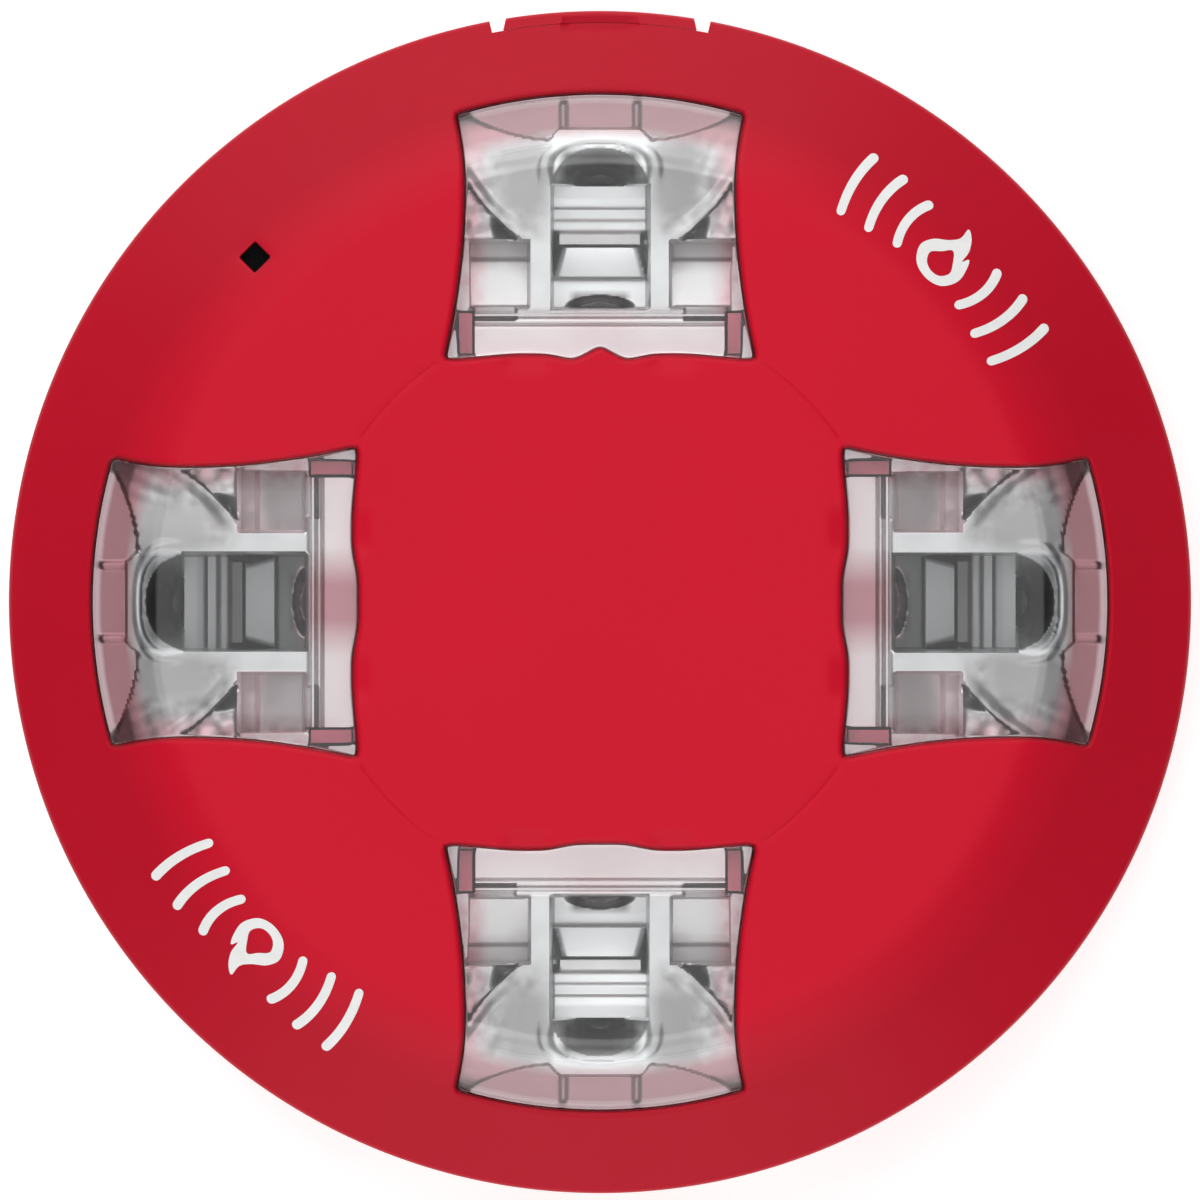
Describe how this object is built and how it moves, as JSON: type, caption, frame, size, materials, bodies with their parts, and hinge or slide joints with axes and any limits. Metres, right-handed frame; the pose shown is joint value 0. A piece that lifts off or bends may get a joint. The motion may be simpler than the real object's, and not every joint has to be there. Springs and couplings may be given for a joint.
{
  "type": "horn strobe",
  "caption": "Round ceiling horn strobe: red domed cover with clear strobe windows at right angles, sound port and release latch, on a mounting plate.",
  "frame": {"origin": "centre of the mounting plate's back face, which lies on the ceiling or on the floor the device is laid on", "axes": "+Z out of the front face, +Y towards the release latch, +X to the right seen from the front"},
  "size_m": [0.173, 0.173, 0.042],
  "materials": {
    "cover_red": "satin moulded plastic",
    "rear_black": "fine grained moulded plastic",
    "plate_ivory": "moulded plastic",
    "terminal_black": "moulded plastic",
    "screw_steel": "zinc plated",
    "brass": "bright",
    "lens_clear": "clear polycarbonate",
    "reflector_bright": "metallised plastic",
    "led_phosphor": "silicone over phosphor",
    "board_green": "solder mask over laminate",
    "gasket_rubber": "foam rubber",
    "capacitor_sleeve": "shrink sleeve",
    "ferrite_dark": "ferrite",
    "chip_black": "moulded epoxy",
    "selector_white": "moulded plastic"
  },
  "bodies": {
    "plate": {"mounting_plate": "plate_ivory", "plate_rim": "plate_ivory", "terminal_block": "terminal_black", "terminal_screw_1": "screw_steel", "terminal_screw_2": "screw_steel", "terminal_screw_3": "screw_steel", "terminal_screw_4": "screw_steel", "terminal_clamp_1": "brass", "terminal_clamp_2": "brass", "terminal_clamp_3": "brass", "terminal_clamp_4": "brass"},
    "head": {"front_cover": "cover_red", "front_skirt": "cover_red", "rear_cover": "rear_black", "rear_wall": "rear_black", "cover_screw_1": "screw_steel", "cover_screw_2": "screw_steel", "cover_screw_3": "screw_steel", "cover_screw_4": "screw_steel", "main_board": "board_green", "lens_1": "lens_clear", "lens_2": "lens_clear", "lens_3": "lens_clear", "lens_4": "lens_clear", "reflector_1": "reflector_bright", "reflector_2": "reflector_bright", "reflector_3": "reflector_bright", "reflector_4": "reflector_bright", "led_1": "led_phosphor", "led_2": "led_phosphor", "led_3": "led_phosphor", "led_4": "led_phosphor", "horn_chamber": "rear_black", "piezo_disc": "brass", "horn_gasket": "gasket_rubber", "capacitor_1": "capacitor_sleeve", "capacitor_2": "capacitor_sleeve", "inductor": "ferrite_dark", "transformer": "ferrite_dark", "microcontroller": "chip_black", "contact_blade_1": "brass", "contact_blade_2": "brass", "contact_blade_3": "brass", "contact_blade_4": "brass", "candela_switch": "chip_black", "tone_switch": "chip_black"},
    "latch": {"release_latch": "cover_red"},
    "candela_slider": {"candela_knob": "selector_white"},
    "tone_selector": {"tone_dial": "selector_white"}
  },
  "joints": [
    {"name": "head_swing", "type": "hinge", "parent": "plate", "child": "head", "pos_m": [0, -0.0802, 0.0036], "axis": [1, 0, 0], "range_deg": [0, 45]},
    {"name": "latch_press", "type": "hinge", "parent": "head", "child": "latch", "pos_m": [0, 0.0848, 0.0278], "axis": [-1, 0, 0], "range_deg": [0, 4], "stiffness_Nm_per_rad": 2},
    {"name": "candela_slide", "type": "slide", "parent": "head", "child": "candela_slider", "axis": [1, 0, 0], "range_m": [0, 0.009]},
    {"name": "tone_turn", "type": "hinge", "parent": "head", "child": "tone_selector", "pos_m": [0.034, -0.03, 0.0137], "axis": [0, 0, 1], "range_deg": [0, 270]}
  ]
}
